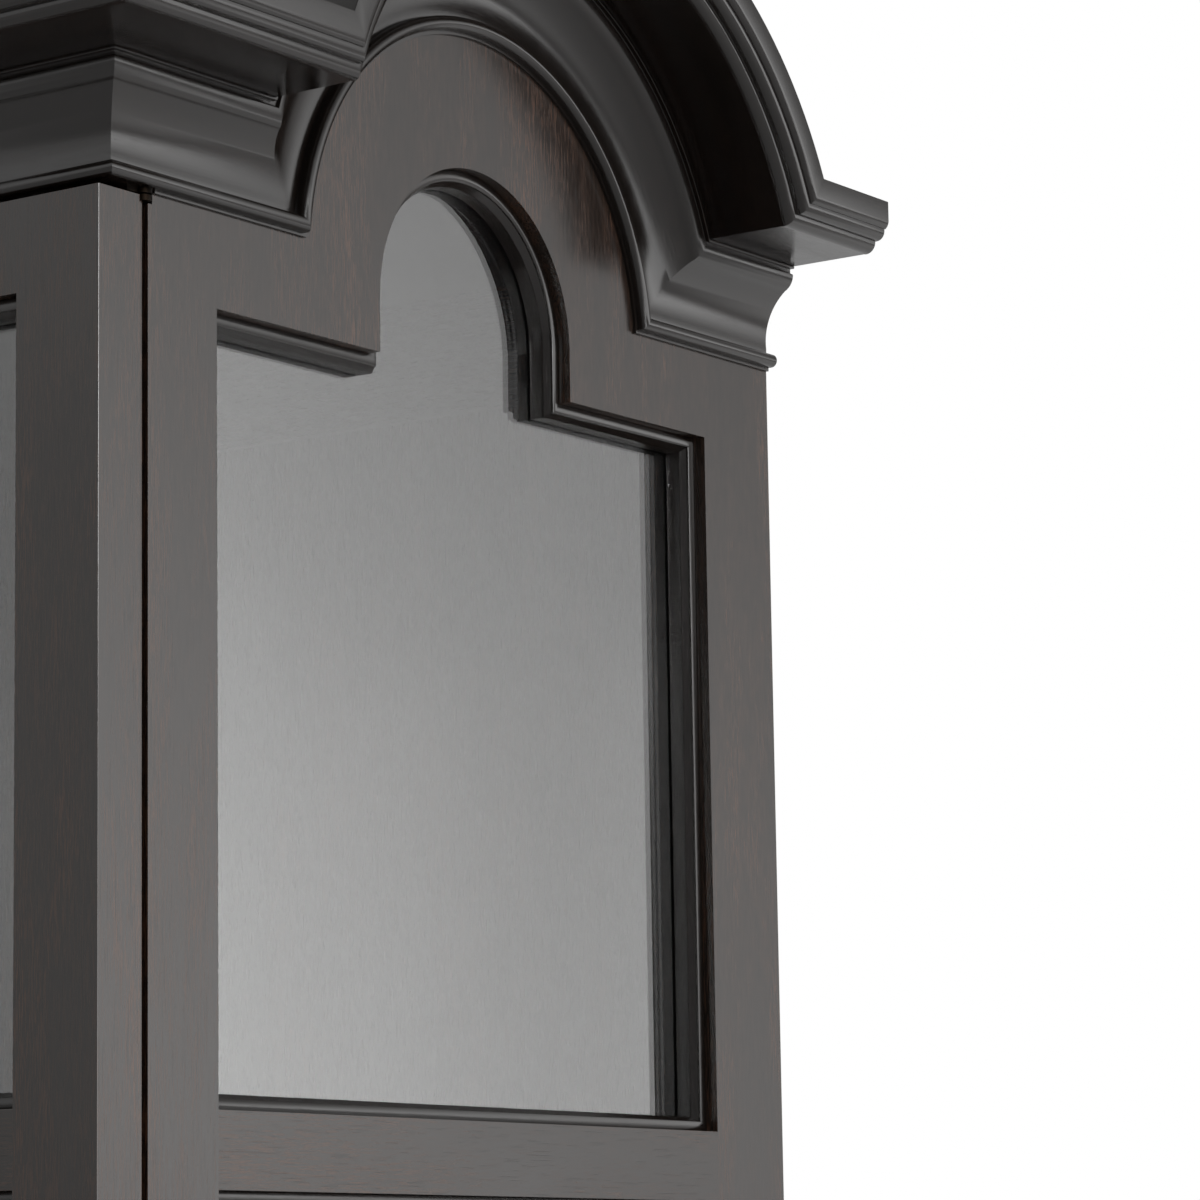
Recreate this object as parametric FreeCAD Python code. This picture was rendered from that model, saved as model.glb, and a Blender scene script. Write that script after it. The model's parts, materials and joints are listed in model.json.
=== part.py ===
import FreeCAD, Part
import os
from math import asin, cos, sin, sqrt

# Glazed armoire with two domed doors and a domed cornice on the front and on both sides.
# Millimetres. Origin: centre of the bounding box on the floor. +Z up, the doors face -Y.

V = FreeCAD.Vector
UP = V(0, 0, 1)

# ---- driving dimensions: the case -------------------------------------------------------------
body_width = 1204.0            # over the two side frames
body_depth = 610.0             # door faces to back
frame_thickness = 34.0         # stiles and rails of sides and doors
plinth_height = 130.0
glide_height = 6.0
tiers = 4                      # panels one above the other, the topmost with a domed head
panel_height = 411.0           # opening of one tier, up to its shoulders
mid_rail_height = 40.0
side_bottom_rail = 86.0        # plinth top to the lowest opening
side_front_stile = 54.0
side_rear_stile = 69.0
shoulder_to_cornice = 53.0     # opening's shoulder to the underside of the cornice

# ---- the dome: the same arch on doors and sides ------------------------------------------------
opening_arch_radius = 88.0
opening_arch_rise = 30.0       # shoulder up to the arch's centre
cornice_arch_radius = 155.0
cornice_arch_drop = 13.0       # cornice underside down to the arch's centre

# ---- doors -------------------------------------------------------------------------------------
door_meeting_gap = 4.0
door_back_gap = 3.5            # door back to case front
door_end_gap = 4.0             # under the door and over it
door_stile = 55.5
door_edge_ease = 1.0
pivot_inset = 1.5              # hinge axis inside the outer face of the case
hinge_pin_radius = 2.5
hinge_pin_clearance = 0.05
hinge_leaf_thickness = 3.0
hinge_leaf_length = 48.0
hinge_leaf_width = 9.0
hinge_plate_inset = 2.0        # plate's rear edge inside the door's back
hinge_knuckle_radius = 4.5
hinge_notch_clearance = 0.6

# ---- glazing: moulding in front, pane, bead behind ---------------------------------------------
moulding_setback = 8.0         # frame face down to the moulding's quirk
moulding_back = 22.0           # frame face to the pane's front
moulding_width = 10.8
moulding_quirk = 1.2           # flat step between frame and moulding
moulding_nose_rise = 0.8       # the roll starts this far above the quirk
moulding_lip_inset = 1.6       # width of the flat beside the pane
moulding_lip_depth = 4.8       # that flat below the quirk
pane_thickness = 4.0
pane_edge_clearance = 1.0
bead_width = 9.0
bead_chamfer = 2.0

# ---- lower panels ------------------------------------------------------------------------------
panel_tongue = 8.0             # thickness of the panel's edge
panel_field_rise = 8.0         # the raised field stands this far in front of the edge
panel_margin = 14.0            # opening's edge to the foot of the bevel
panel_bevel = 30.0

# ---- cornice -----------------------------------------------------------------------------------
front_wall_setback = 9.0       # cornice wall behind the door faces
cornice_seat_depth = 10.0      # the cornice is let into the frames this far
scribe_height = 2.0            # scribing strip under the astragal, on the sides only
scribe_depth = 1.8
astragal_height = 8.0
crown_bottom = 60.5
cove_foot = 0.4                # stands proud of the wall
cove_fillet = 12.0             # top of the flat under the hollow
cove_hollow = [((4.0, 32.5), (15.0, 46.0)), ((19.4, 49.9), (21.0, 55.5))]
cove_quirk = (19.0, 56.6)
cove_lip = 22.0
cove_lip_height = 1.5
crown_top = 90.4
crown_reach = 90.0
soffit_reach = 72.0
crown_lower_bead = [((6.0, 1.4), (8.2, 6.6)), (9.2, 6.6)]       # outwards, up from the soffit
crown_upper_bead = [((13.4, 8.4), (14.8, 13.2)), (15.6, 13.2)]
crown_fascia_start = 17.6
crown_fascia_ease = (0.7, 2.4)
head_top = 88.0                # frames end this far above the cornice underside
roof_thickness = 12.0
hood_thickness = 10.0
hood_depth = 120.0

# ---- back, shelves, base -----------------------------------------------------------------------
back_thickness = 13.0
back_rebate = 10.0
back_stile = 75.0
back_rail = 90.0
back_panel_thickness = 7.0
back_panel_tongue = 8.0
bottom_board_thickness = 25.0
shelf_thickness = 25.0
shelf_side_clearance = 1.5
shelf_front_setback = 2.0
shelf_pin_radius = 3.0
shelf_pin_reach = 12.0
shelf_pin_embed = 14.0
shelf_pin_front_inset = 8.0     # from the shelf's front edge
shelf_pin_rear_inset = 13.5     # from the rear stile's inner edge
mullion_width = 60.0
front_head_lap = 12.0          # case head stays this far outside the door's opening
plinth_board = 22.0
base_moulding_height = 34.0
base_moulding_reach = 14.0
base_fillet_share = 0.34       # of the moulding's height, upright at its foot
base_fillet_step = 1.5
base_hollow = [((0.52, 0.5), (0.42, 0.72)), ((0.36, 0.86), (0.16, 1.0))]   # shares of both
glide_radius = 10.0
glide_inset = 60.0
front_head_arch = 0.86          # rise of the case head's arches to their radius

# ---- knobs, lock, bolt -------------------------------------------------------------------------
knob_radius = 14.0
knob_reach = 27.0
knob_stem_radius = 5.5
knob_rose_radius = 11.0
knob_inset = 27.0
knob_rose_edge = 2.0
knob_rose_roll = ((1.6, 3.8), (0.8, 4.4))
knob_neck = (7.0, 11.0)         # straight part of the stem
knob_swell = (0.86, 13.0)
knob_rim_share = 0.68
lock_below_knob = 62.0
lock_case_height = 64.0
lock_case_depth = 40.0
lock_case_thickness = 14.0
lock_bolt_height = 18.0
lock_bolt_thickness = 6.0
lock_bolt_length = 26.0
lock_bolt_throw = 8.0
lock_clearance = 0.3
key_shaft_radius = 2.5
key_reach = 30.0
key_bow_radius = 10.0
key_bow_thickness = 3.2
key_bow_hole_share = 0.62
key_collar_radius = 3.8
key_collar_length = 2.4
key_collar_gap = 0.6
keyhole_clearance = 1.0
keyhole_wall = 1.5             # left behind the key's end
escutcheon_radius = 8.0
escutcheon_thickness = 1.6
flush_bolt_width = 12.0
flush_bolt_thickness = 4.0
flush_bolt_length = 90.0
flush_bolt_throw = 12.0
flush_bolt_clearance = 0.4

# ---- levels and planes that follow -------------------------------------------------------------
half_width = body_width / 2
total_depth = body_depth + crown_reach - front_wall_setback
back_y = total_depth / 2
face_y = back_y - body_depth                       # door faces
case_front = frame_thickness + door_back_gap       # from the door faces, as are all depths below
first_opening = plinth_height + side_bottom_rail
tier_pitch = panel_height + mid_rail_height
top_opening = first_opening + (tiers - 1) * tier_pitch
shoulder = top_opening + panel_height
cornice_z = shoulder + shoulder_to_cornice
arch_z = shoulder + opening_arch_rise              # centre of the opening's arch
cornice_arch_z = cornice_z - cornice_arch_drop
frame_top = cornice_z + head_top
roof_underside = frame_top - roof_thickness
door_bottom = plinth_height + door_end_gap
door_top = cornice_z - door_end_gap
door_arch_radius = cornice_arch_radius - door_end_gap
door_inner_x = door_meeting_gap / 2
door_width = half_width - door_inner_x
door_centre = door_inner_x + door_width / 2
side_panel_start = case_front + side_front_stile
side_panel_end = body_depth - side_rear_stile
side_centre = (side_panel_start + side_panel_end) / 2
pane_back = moulding_back + pane_thickness
pivot_x = half_width - pivot_inset
pivot_depth = frame_thickness + door_back_gap / 2
inner_x = half_width - frame_thickness             # inner faces of the side frames
inside_back = body_depth - back_thickness
inside_floor = plinth_height + bottom_board_thickness
knob_z = top_opening - tier_pitch - mid_rail_height / 2
lock_z = knob_z - lock_below_knob
lock_x = door_inner_x + lock_case_depth / 2
shelf_front = case_front + frame_thickness + shelf_front_setback


# ---- helpers: every wall is drawn as the front is, x along it, y inwards from its face ----------
def box(x0, x1, y0, y1, z0, z1):
    """Upright block between six planes."""
    return Part.makeBox(x1 - x0, y1 - y0, z1 - z0, V(x0, y0, z0))


def rod(radius, start, axis, length):
    """Round bar from a point along an axis."""
    return Part.makeCylinder(radius, length, V(*start), V(*axis))


def path(points, flat):
    """Edges through the points; an entry of two points is an arc by its middle and its end."""
    edges = []
    here = flat(*points[0])
    for step in points[1:]:
        if isinstance(step[0], tuple):
            middle, end = flat(*step[0]), flat(*step[1])
            edges.append(Part.Arc(here, middle, end).toShape())
        else:
            end = flat(*step)
            edges.append(Part.LineSegment(here, end).toShape())
        here = end
    return edges


def face_of(edges):
    return Part.Face(Part.Wire(edges))


def in_wall(x, z):
    """A point of a wall's outline."""
    return V(x, 0, z)


def slab(points, y0, y1):
    """A wall outline given a thickness from depth y0 to y1."""
    face = face_of(path(points + [points[0]], in_wall))
    face.translate(V(0, y0, 0))
    return face.extrude(V(0, y1 - y0, 0))


def rect(x0, x1, z0, z1, inset=0.0):
    """Rectangle that starts at the middle of its lower edge."""
    x0, x1, z0, z1 = x0 + inset, x1 - inset, z0 + inset, z1 - inset
    return [((x0 + x1) / 2, z0), (x1, z0), (x1, z1), (x0, z1), (x0, z0)]


def domed(x0, x1, z0, inset=0.0):
    """Opening with shoulders and a stilted round arch over its middle."""
    middle = (x0 + x1) / 2
    r = opening_arch_radius - inset
    z_shoulder = shoulder - inset
    return [(middle, z0 + inset), (x1 - inset, z0 + inset), (x1 - inset, z_shoulder),
            (middle + r, z_shoulder), (middle + r, arch_z),
            ((middle, arch_z + r), (middle - r, arch_z)),
            (middle - r, z_shoulder), (x0 + inset, z_shoulder), (x0 + inset, z0 + inset)]


def opening(tier, x0, x1, inset=0.0):
    """Outline of one tier's opening, counted from the bottom."""
    z0 = first_opening + tier * tier_pitch
    if tier == tiers - 1:
        return domed(x0, x1, z0, inset)
    return rect(x0, x1, z0, z0 + panel_height, inset)


def headed(x0, x1, z0, z1, radius):
    """Board from z0 up to z1 whose top edge rises into an arch on the cornice's centre."""
    middle = (x0 + x1) / 2
    reach = sqrt(radius ** 2 - (z1 - cornice_arch_z) ** 2)
    return [(x0, z0), (x1, z0), (x1, z1), (middle + reach, z1),
            ((middle, cornice_arch_z + radius), (middle - reach, z1)), (x0, z1)]


def disc_slab(centre, radius, y0, y1):
    """Round plate on the cornice arch's centre."""
    return rod(radius, (centre, y0, cornice_arch_z), (0, 1, 0), y1 - y0)


def to_right(shape):
    """Stands a wall drawn along x on the right side; x becomes the distance from the door faces."""
    turned = shape.copy()
    turned.rotate(V(0, 0, 0), UP, 90)
    turned.translate(V(half_width, face_y, 0))
    return turned


def to_front(shape):
    moved = shape.copy()
    moved.translate(V(0, face_y, 0))
    return moved


def mirrored(shape):
    return shape.mirror(V(0, 0, 0), V(1, 0, 0))


def both(shape):
    return [shape, mirrored(shape)]


# ---- glazing and panels of one frame -----------------------------------------------------------
def moulding_profile(x, z):
    """Section of the glazing moulding at the middle of an opening's lower edge."""
    def at(inset, depth):
        return V(x, depth, z + inset)
    quirk = moulding_quirk
    floor = moulding_setback + moulding_nose_rise
    shallow = moulding_setback - moulding_nose_rise
    lip = moulding_width - moulding_lip_inset
    roll_middle = ((quirk + lip) / 2, shallow - quirk)
    roll_end = (lip, floor + moulding_lip_depth / 3)
    return face_of(path([
        (0, floor), (quirk, floor), (quirk, shallow), (roll_middle, roll_end),
        (lip, floor + moulding_lip_depth - quirk), (moulding_width, moulding_setback + moulding_lip_depth),
        (moulding_width, moulding_back), (0, moulding_back), (0, floor)], at))


def moulding_ring(outline):
    """Moulding carried round an opening with mitred corners."""
    spine = Part.Wire(path(outline + [outline[0]], in_wall))
    section = moulding_profile(*outline[0]).OuterWire
    return spine.makePipeShell([section], True, False, 1)


def pane(outline):
    return slab(outline, moulding_back, pane_back)


def bead_ring(tier, x0, x1):
    """Bead that holds a pane from behind, with a chamfered inner edge."""
    block = slab(opening(tier, x0, x1), pane_back, frame_thickness)
    hole = slab(opening(tier, x0, x1, bead_width), pane_back, frame_thickness)
    ease = slab(opening(tier, x0, x1, bead_width - bead_chamfer),
                frame_thickness - bead_chamfer, frame_thickness)
    return block.cut(hole).cut(ease)


def fielded_panel(x0, x1):
    """Wooden panel of the lowest tier with a bevelled, raised field."""
    z0 = first_opening
    z1 = z0 + panel_height
    front = moulding_back
    edge = box(x0 + pane_edge_clearance, x1 - pane_edge_clearance, front, front + panel_tongue,
               z0 + pane_edge_clearance, z1 - pane_edge_clearance)
    foot = Part.Wire(path(rect(x0, x1, z0, z1, panel_margin)
                          + [((x0 + x1) / 2, z0 + panel_margin)], in_wall))
    crest_inset = panel_margin + panel_bevel
    crest = Part.Wire(path(rect(x0, x1, z0, z1, crest_inset)
                           + [((x0 + x1) / 2, z0 + crest_inset)], in_wall))
    foot.translate(V(0, front, 0))
    crest.translate(V(0, front - panel_field_rise, 0))
    return edge.fuse(Part.makeLoft([foot, crest], True, True)).removeSplitter()


def glazing(x0, x1):
    """Mouldings, panes and beads of a frame's glazed tiers, and the fielded panel below them."""
    mouldings = [moulding_ring(opening(t, x0, x1)) for t in range(tiers)]
    panes = [pane(opening(t, x0, x1, pane_edge_clearance)) for t in range(1, tiers)]
    beads = [bead_ring(t, x0, x1) for t in range(1, tiers)]
    panel_bead = slab(opening(0, x0, x1), moulding_back + panel_tongue, frame_thickness)
    panel_bead = panel_bead.cut(slab(opening(0, x0, x1, bead_width),
                                     moulding_back + panel_tongue, frame_thickness))
    return mouldings, panes, beads + [panel_bead], fielded_panel(x0, x1)


def mid_rails(x0, x1):
    rails = []
    for tier in range(1, tiers):
        z1 = first_opening + tier * tier_pitch
        rails.append(box(x0, x1, 0, frame_thickness, z1 - mid_rail_height, z1))
    return rails


# ---- sides -------------------------------------------------------------------------------------
def cornice_seat(centre, x0, x1):
    """What is taken off a wall's face so that cove and crown are let into it."""
    lip = astragal_height / 2
    seat = box(x0, x1, 0, cornice_seat_depth, cornice_z + lip, frame_top + crown_reach * 4)
    for c in centre:
        seat = seat.cut(disc_slab(c, cornice_arch_radius + lip, -1, cornice_seat_depth + 1))
    return seat


def hinge_notch(z0, z1):
    return rod(hinge_knuckle_radius + hinge_notch_clearance,
               (pivot_x, face_y + pivot_depth, z0), (0, 0, 1), z1 - z0)


def side_stile_front():
    stile = to_right(box(case_front, side_panel_start, 0, frame_thickness,
                         plinth_height, frame_top)
                     .cut(cornice_seat([side_centre], 0, body_depth)))
    reach = door_end_gap + hinge_leaf_thickness + hinge_notch_clearance
    stile = stile.cut(hinge_notch(plinth_height - 1, plinth_height + reach))
    stile = stile.cut(hinge_notch(door_top - hinge_leaf_thickness - hinge_notch_clearance,
                                  cornice_z))
    return cut_all(stile, shelf_pins())


def side_stile_rear():
    stile = box(side_panel_end, body_depth, 0, frame_thickness, plinth_height, frame_top)
    stile = stile.cut(cornice_seat([side_centre], 0, body_depth))
    rebate = box(inside_back, body_depth, frame_thickness - back_rebate, frame_thickness,
                 plinth_height, frame_top)
    return cut_all(to_right(stile.cut(rebate)), shelf_pins())


def side_head():
    """Arched head between the stiles, with the domed opening cut in it."""
    head = slab(headed(side_panel_start, side_panel_end, shoulder, frame_top,
                       cornice_arch_radius + head_top), 0, frame_thickness)
    head = head.cut(slab(domed(side_panel_start, side_panel_end, top_opening),
                         0, frame_thickness))
    return to_right(head.cut(cornice_seat([side_centre], 0, body_depth)))


def side_bottom():
    return to_right(box(side_panel_start, side_panel_end, 0, frame_thickness,
                        plinth_height, first_opening))


# ---- cornice -----------------------------------------------------------------------------------
def section(points):
    """Cornice section in the plane x = 0; q is outwards from the wall, r above its underside."""
    def at(q, r):
        return V(0, -q, cornice_z + r)
    return face_of(path(points + [points[0]], at))


def astragal_section(scribed):
    """Half-round nose; on a scribed wall a thin strip runs on below it."""
    nose = astragal_height / 2
    foot = [(0, 0)]
    if scribed:
        foot = [(0, -scribe_height), (scribe_depth, -scribe_height), (scribe_depth, 0)]
    return section(foot + [(nose, 0), ((astragal_height, nose), (nose, astragal_height)),
                           (0, astragal_height)])


def scribe_relief():
    """Room for the hinge knuckles where the side's scribing strip would meet them."""
    end = pivot_depth + hinge_knuckle_radius + hinge_notch_clearance
    return to_right(box(-crown_reach, end, -2 * scribe_depth, scribe_depth,
                        cornice_z - 2 * scribe_height, cornice_z))


def cove_section():
    lip = crown_bottom - cove_lip_height
    return section([(-cornice_seat_depth, astragal_height), (cove_foot, astragal_height),
                    (cove_foot, cove_fillet)] + cove_hollow
                   + [cove_quirk, (cove_quirk[0], lip), (cove_lip, lip),
                      (cove_lip, crown_bottom), (-cornice_seat_depth, crown_bottom)])


def crown_section():
    def beside(point):
        return (soffit_reach + point[0], crown_bottom + point[1])
    beads = []
    for arc, step in (crown_lower_bead, crown_upper_bead):
        beads += [(beside(arc[0]), beside(arc[1])), beside(step)]
    fascia = crown_bottom + crown_fascia_start
    ease = (crown_reach - crown_fascia_ease[0], fascia - crown_fascia_ease[1])
    return section([(-cornice_seat_depth, crown_bottom), (soffit_reach, crown_bottom)] + beads
                   + [(ease, (crown_reach, fascia)), (crown_reach, crown_top),
                      (-cornice_seat_depth, crown_top)])


def arch_zone(centre):
    """Where the arch takes over from the level run; its two mitres are parabolas."""
    low, high = -scribe_height - 1.0, crown_top + 6.0
    spread = cornice_arch_radius - cornice_arch_drop
    base = cornice_arch_radius ** 2 - cornice_arch_drop ** 2

    def reach(r):
        return sqrt(base + 2 * r * spread)
    x0, x2 = reach(low), reach(high)
    control = low + x0 * (x2 - x0) / spread
    ceiling = cornice_z + crown_top + 2 * cornice_arch_radius
    mitres = []
    for side in (1, -1):
        curve = Part.BezierCurve()
        curve.setPoles([in_wall(centre + side * x0, cornice_z + low),
                        in_wall(centre + side * (x0 + x2) / 2, cornice_z + control),
                        in_wall(centre + side * x2, cornice_z + high)])
        mitres.append(curve.toShape())
    right_top, left_top = centre + x2, centre - x2
    rest = path([(right_top, cornice_z + high), (right_top, ceiling), (left_top, ceiling),
                 (left_top, cornice_z + high)], in_wall)
    floor = path([(centre - x0, cornice_z + low), (centre + x0, cornice_z + low)], in_wall)
    face = Part.Face(Part.Wire([mitres[0]] + rest + [mitres[1]] + floor))
    face.translate(V(0, -2 * crown_reach, 0))
    return face.extrude(V(0, 4 * crown_reach, 0))


def corner_wedge(x, side):
    """Beyond a mitred corner at x: everything past the 45 degree plane through the wall."""
    far = 3 * crown_reach
    points = [V(x - side * far, far, 0), V(x + side * far, -far, 0), V(x + side * far, far, 0)]
    face = Part.Face(Part.makePolygon(points + [points[0]]))
    face.translate(V(0, 0, cornice_z - crown_reach))
    return face.extrude(V(0, 0, 4 * crown_reach))


def cornice_run(face, x0, x1, centres, mitred_left, mitred_right):
    """Level runs and arches of one member along a wall from x0 to x1."""
    start = x0 - 2 * crown_reach if mitred_left else x0
    end = x1 + 2 * crown_reach if mitred_right else x1
    level = face.copy()
    level.translate(V(start, 0, 0))
    level = level.extrude(V(end - start, 0, 0))
    arches = []
    for centre in centres:
        zone = arch_zone(centre)
        level = level.cut(zone)
        arch = face.copy()
        arch.translate(V(centre, 0, cornice_arch_radius - cornice_arch_drop))
        axis = V(centre, 0, cornice_arch_z)
        arch.rotate(axis, V(0, 1, 0), -90)
        arches.append(arch.revolve(axis, V(0, 1, 0), 180).common(zone))
    if mitred_left:
        level = level.cut(corner_wedge(x0, -1))
    if mitred_right:
        level = level.cut(corner_wedge(x1, 1))
    return [s for shape in [level] + arches for s in shape.Solids]


def front_run(face):
    wall = cornice_run(face, -half_width, half_width, [-door_centre, door_centre], True, True)
    for solid in wall:
        solid.translate(V(0, face_y + front_wall_setback, 0))
    return wall


def side_run(face):
    return [to_right(s) for s in
            cornice_run(face, front_wall_setback, body_depth, [side_centre], True, False)]


# ---- top of the case ---------------------------------------------------------------------------
def front_frieze():
    """Board over the doors that carries the front cornice and clears the doors' arched heads."""
    top = cornice_arch_radius + head_top
    depth = case_front - front_wall_setback
    board = box(-half_width, half_width, 0, depth, cornice_z, frame_top)
    for c in (-door_centre, door_centre):
        crest = disc_slab(c, top, 0, depth).cut(box(c - top, c + top, -1, depth + 1,
                                                    cornice_arch_z - top, cornice_z))
        board = board.fuse(crest)
    for c in (-door_centre, door_centre):
        board = board.cut(disc_slab(c, cornice_arch_radius, -1, depth + 1))
    board = board.cut(cornice_seat([-door_centre, door_centre], -half_width, half_width))
    board.translate(V(0, face_y + front_wall_setback, 0))
    side_seat = to_right(box(0, body_depth, -1, cornice_seat_depth,
                             cornice_z + astragal_height / 2, frame_top + crown_reach * 4))
    board = board.cut(side_seat).cut(mirrored(side_seat))
    return board.removeSplitter().cut(flush_bolt_space())


def front_head():
    """Arched rail of the case behind the doors' heads."""
    lap = front_head_lap
    low = shoulder + lap
    rail = box(-inner_x, inner_x, case_front, case_front + frame_thickness, low, roof_underside)
    for c in (-door_centre, door_centre):
        r = opening_arch_radius + lap
        hole = slab([(c - r, low - 1), (c + r, low - 1), (c + r, arch_z),
                     ((c, arch_z + r * front_head_arch), (c - r, arch_z))], case_front,
                    case_front + frame_thickness)
        rail = rail.cut(hole)
    return to_front(rail)


def hood(centre, wall_depth):
    """Curved roof behind one crown arch, closed by an upright board at its inner end."""
    outer = cornice_arch_radius + head_top
    inner_end = wall_depth + hood_depth
    shell = disc_slab(centre, outer, wall_depth, inner_end)
    shell = shell.cut(disc_slab(centre, outer - hood_thickness, wall_depth,
                                inner_end - hood_thickness))
    return shell.cut(box(centre - outer - 1, centre + outer + 1, wall_depth - 1, inner_end + 1,
                         cornice_arch_z - outer - 1, frame_top))


def front_crest():
    """Arched tops of the case head that reach back to the front hoods."""
    outer = cornice_arch_radius + head_top
    crests = []
    for c in (-door_centre, door_centre):
        plate = disc_slab(c, outer, case_front, case_front + frame_thickness)
        plate = plate.cut(box(c - outer - 1, c + outer + 1, 0, 2 * case_front + frame_thickness,
                              cornice_arch_z - outer - 1, frame_top))
        crests.append(to_front(plate))
    return crests


def hoods():
    """Two front hoods; each side hood stops at the front one and the crest beside it."""
    start = case_front + frame_thickness
    front = to_front(hood(door_centre, start))
    filled = to_front(disc_slab(door_centre, cornice_arch_radius + head_top,
                                case_front, start + hood_depth))
    side = to_right(hood(side_centre, frame_thickness)).cut(filled)
    return both(front) + both(side) + front_crest()


def roof_board():
    return to_front(box(-inner_x, inner_x, case_front, inside_back, roof_underside, frame_top))


# ---- back, shelves, bottom ---------------------------------------------------------------------
def back_edges():
    """Left and right edges of the back's five upright bands, in x."""
    edge = inner_x + back_rebate
    return [(-edge, -edge + back_stile), (-back_stile / 2, back_stile / 2),
            (edge - back_stile, edge)]


def back_stiles():
    top = frame_top
    return [to_front(box(a, b, inside_back, body_depth, plinth_height, top))
            for a, b in back_edges()]


def back_rail_levels():
    return [(plinth_height, plinth_height + back_rail),
            (knob_z - back_rail / 2, knob_z + back_rail / 2),
            (frame_top - back_rail, frame_top)]


def back_bays():
    edges = back_edges()
    return [(edges[0][1], edges[1][0]), (edges[1][1], edges[2][0])]


def back_rails():
    return [to_front(box(a, b, inside_back, body_depth, z0, z1))
            for a, b in back_bays() for z0, z1 in back_rail_levels()]


def back_panels():
    """Flat panels tongued into the back's stiles and rails."""
    middle = (inside_back + body_depth) / 2
    levels = back_rail_levels()
    panels = []
    for a, b in back_bays():
        for low, high in zip(levels, levels[1:]):
            t = back_panel_tongue
            panels.append(to_front(box(a - t, b + t, middle - back_panel_thickness / 2,
                                       middle + back_panel_thickness / 2,
                                       low[1] - t, high[0] + t)))
    return panels


def grooved(frame_parts, panels):
    return [cut_all(part, panels) for part in frame_parts]


def shelf_levels():
    """Top faces of the shelves, level with the middles of the rails."""
    return [first_opening + t * tier_pitch - mid_rail_height / 2 + shelf_thickness / 2
            for t in range(1, tiers)]


def shelves():
    edge = inner_x - shelf_side_clearance
    return [to_front(box(-edge, edge, shelf_front, inside_back - shelf_side_clearance,
                         top - shelf_thickness, top)) for top in shelf_levels()]


def shelf_pins():
    """Round pins in the side stiles, two under each end of every shelf."""
    pins = []
    far = side_panel_end + shelf_pin_rear_inset
    for top in shelf_levels():
        z = top - shelf_thickness - shelf_pin_radius
        for depth in (shelf_front + shelf_pin_front_inset, far):
            for side in (1, -1):
                x = side * (inner_x - shelf_pin_reach)
                pins.append(rod(shelf_pin_radius, (x, face_y + depth, z), (side, 0, 0),
                                shelf_pin_reach + shelf_pin_embed))
    return pins


def bottom_board():
    return to_front(box(-inner_x, inner_x, case_front, inside_back,
                        plinth_height, inside_floor))


def centre_mullion():
    """Post behind the doors' meeting edges, from the bottom board to the case head."""
    return to_front(box(-mullion_width / 2, mullion_width / 2, case_front,
                        case_front + frame_thickness, inside_floor, shoulder + front_head_lap))


# ---- base --------------------------------------------------------------------------------------
def plinth():
    """Front, side and back boards, mitred at the front corners."""
    low = glide_height
    b = plinth_board
    front = box(-half_width, half_width, 0, b, low, plinth_height)
    sides = [box(side * half_width - (b if side > 0 else 0),
                 side * half_width + (0 if side > 0 else b), 0, body_depth, low, plinth_height)
             for side in (1, -1)]
    wedge = Part.Face(Part.makePolygon([V(half_width + 1, -1, 0),
                                        V(half_width - b - 1, b + 1, 0),
                                        V(-half_width + b + 1, b + 1, 0),
                                        V(-half_width - 1, -1, 0), V(half_width + 1, -1, 0)]))
    wedge = wedge.extrude(V(0, 0, plinth_height * 2))
    back = box(-half_width + b, half_width - b, body_depth - b, body_depth, low, plinth_height)
    pieces = [front.common(wedge)] + [s.cut(wedge) for s in sides] + [back]
    cleats = [box(-half_width + b, half_width - b, b, case_front + frame_thickness,
                  plinth_height - b, plinth_height)]
    return [to_front(p) for p in pieces + cleats]


def base_moulding():
    """Ogee strip round the top of the plinth, mitred at the front corners."""
    top = plinth_height
    low = top - base_moulding_height
    reach = base_moulding_reach

    def at(q, r):
        return V(0, -q, low + r)
    h = base_moulding_height
    fillet = h * base_fillet_share
    hollow = [((reach * m[0], h * m[1]), (reach * e[0], h * e[1])) for m, e in base_hollow]
    face = face_of(path([(0, 0), (reach, 0), (reach, fillet), (reach - base_fillet_step, fillet)]
                        + hollow + [(0, h), (0, 0)], at))

    def wedge(x, side):
        cutter = corner_wedge(x, side)
        cutter.translate(V(0, 0, low - cornice_z))
        return cutter
    far = 3 * reach
    front = face.copy()
    front.translate(V(-half_width - far, 0, 0))
    front = front.extrude(V(body_width + 2 * far, 0, 0))
    front = front.cut(wedge(-half_width, -1)).cut(wedge(half_width, 1))
    side = face.copy()
    side.translate(V(-far, 0, 0))
    side = to_right(side.extrude(V(body_depth + far, 0, 0)).cut(wedge(0, -1)))
    return [to_front(front)] + both(side)


def glides():
    feet = []
    xs = (-half_width + glide_inset, 0, half_width - glide_inset)
    inset = plinth_board / 2
    for x in xs:
        for depth in (inset, body_depth - inset):
            feet.append(rod(glide_radius, (x, face_y + depth, 0), (0, 0, 1), glide_height))
    return feet


# ---- hinges ------------------------------------------------------------------------------------
def hinge_leaf(z0):
    """Flat leaf with a round knuckle about the hinge axis."""
    y = face_y + pivot_depth
    plate_back = y - door_back_gap / 2 - hinge_plate_inset
    plate = box(pivot_x - hinge_leaf_length, pivot_x, plate_back - hinge_leaf_width,
                plate_back, z0, z0 + hinge_leaf_thickness)
    link = box(pivot_x - 2 * hinge_knuckle_radius, pivot_x, y - hinge_leaf_width,
               y, z0, z0 + hinge_leaf_thickness)
    knuckle = rod(hinge_knuckle_radius, (pivot_x, y, z0), (0, 0, 1), hinge_leaf_thickness)
    return plate.fuse([link, knuckle]).removeSplitter()


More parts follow.
